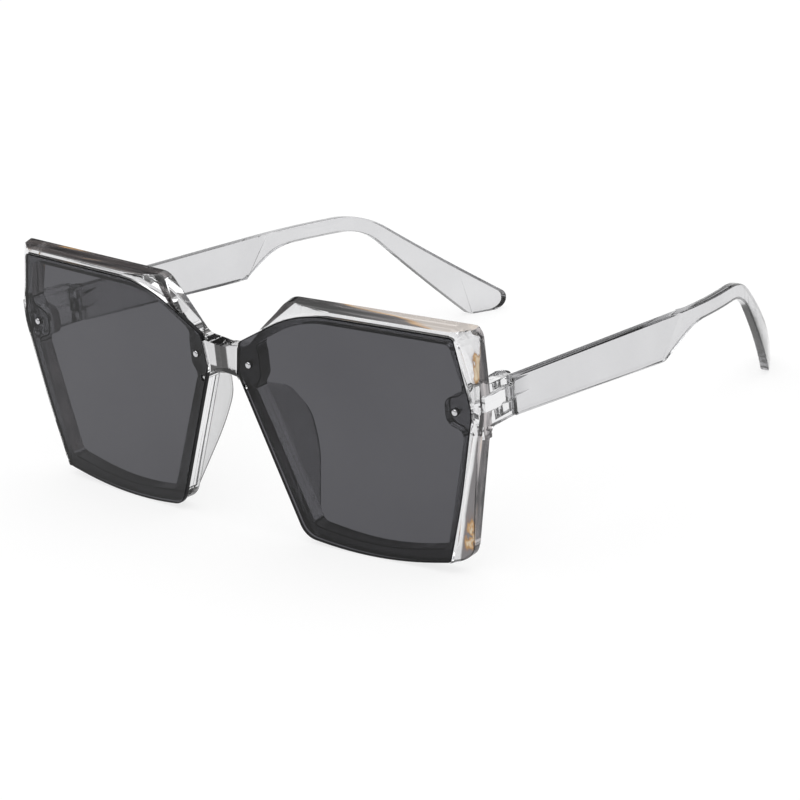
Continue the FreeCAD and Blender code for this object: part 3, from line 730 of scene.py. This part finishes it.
for side, turn in (("left", WRAP), ("right", -WRAP)):
    forwards = Vector((math.sin(turn), -math.cos(turn), 0))
    softened(f"{side}_temple", TEMPLE_ROUNDING, (temple_plastic,))
    softened(f"{side}_lens", LENS_ROUNDING, LENS_FINISHES, lens_painter(forwards), edge_finish=LENS_EDGE)
    for spot in ("outer", "inner"):
        node = f"{side}_{spot}_rivet"
        low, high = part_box(node)
        foot = (low + high) / 2 - forwards * (RIVET_LENGTH + RIVET_DOME + RIVET_SINK) / 2
        rivet = turned(f"{node}_finish", RIVET_PROFILE, foot, forwards, (chrome, lens_edge_and_painted_shade), RIVET_PAINTED_SHADE_RINGS)
        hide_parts(node)
        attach(rivet, "front")
    nodes[f"{side}_hinge_screw"].material_slots[0].material = screw_finish

# Floor of white paper, which looks nearly white and keeps the shadow
FLOOR = 4.0
PAPER_GLOW = 0.78
floor_mesh = bpy.data.meshes.new("floor")
floor_corners = [(-FLOOR, -FLOOR, 0), (FLOOR, -FLOOR, 0), (FLOOR, FLOOR, 0), (-FLOOR, FLOOR, 0)]
floor_mesh.from_pydata(floor_corners, [], [(0, 1, 2, 3)])
floor = bpy.data.objects.new("floor", floor_mesh)
scene.collection.objects.link(floor)
paper, paper_tree, paper_shader = new_material("white_paper", Roughness=0.9, Specular_IOR_Level=0.0)
paper_tint = ramp(paper_tree, noise(paper_tree, scale=40), (0.0, grey(0.94)), (1.0, grey(0.96)))
paper_tree.links.new(paper_tint, paper_shader.inputs["Base Color"])
floor_mesh.materials.append(paper)
glow = paper_tree.nodes.new("ShaderNodeEmission")
path = paper_tree.nodes.new("ShaderNodeLightPath")
looked_at = combined(
    paper_tree,
    "MAXIMUM",
    path.outputs["Is Camera Ray"],
    path.outputs["Is Glossy Ray"],
    path.outputs["Is Transmission Ray"],
)
blend = paper_tree.nodes.new("ShaderNodeMixShader")
paper_tree.links.new(spread(paper_tree, looked_at, low=0.0, high=PAPER_GLOW), blend.inputs["Fac"])
paper_tree.links.new(paper_shader.outputs["BSDF"], blend.inputs[1])
paper_tree.links.new(glow.outputs["Emission"], blend.inputs[2])
paper_tree.links.new(blend.outputs["Shader"], paper_tree.nodes["Material Output"].inputs["Surface"])

# World, bright overhead with a dark band above the horizon that draws the clear edges
DOME = ((0.16, grey(0.5)), (0.24, grey(0.05)), (0.52, grey(0.05)), (0.70, grey(1.0)))
DOME_STRENGTH = 1.75
world = bpy.data.worlds.new("studio")
scene.world = world
world.use_nodes = True
sky = world.node_tree
background = sky.nodes["Background"]
background.inputs["Color"].default_value = (1, 1, 1, 1)
direction = sky.nodes.new("ShaderNodeTexCoord")
height_up = sky.nodes.new("ShaderNodeSeparateXYZ")
sky.links.new(direction.outputs["Generated"], height_up.inputs["Vector"])
brightness = ramp(sky, height_up.outputs["Z"], *DOME, interpolation="EASE")
sky.links.new(spread(sky, brightness, low=0.0, high=DOME_STRENGTH), background.inputs["Strength"])

# Camera at the photograph's view
AZIMUTH = math.radians(43.05)
ELEVATION = math.radians(20.377)
ROLL = math.radians(-5.65)
DISTANCE = 780 * MM
TARGET = Vector((-1.378, -14.704, 10.947)) * MM
FOCAL_LENGTH = 146.68
SENSOR_WIDTH = 36.0
NEAREST = 10 * MM
back = Vector((
    math.sin(AZIMUTH) * math.cos(ELEVATION),
    -math.cos(AZIMUTH) * math.cos(ELEVATION),
    math.sin(ELEVATION),
))
aside = Vector((math.cos(AZIMUTH), math.sin(AZIMUTH), 0))
upright = back.cross(aside)
right = aside * math.cos(ROLL) + upright * math.sin(ROLL)
up = upright * math.cos(ROLL) - aside * math.sin(ROLL)
camera_data = bpy.data.cameras.new("camera")
camera_data.lens = FOCAL_LENGTH
camera_data.sensor_width = SENSOR_WIDTH
camera_data.clip_start = NEAREST
camera = bpy.data.objects.new("camera", camera_data)
scene.collection.objects.link(camera)
camera_turn = Matrix((right, up, back)).transposed().to_4x4()
camera.matrix_world = Matrix.Translation(TARGET + back * DISTANCE) @ camera_turn
scene.camera = camera

scene.view_settings.view_transform = "Standard"
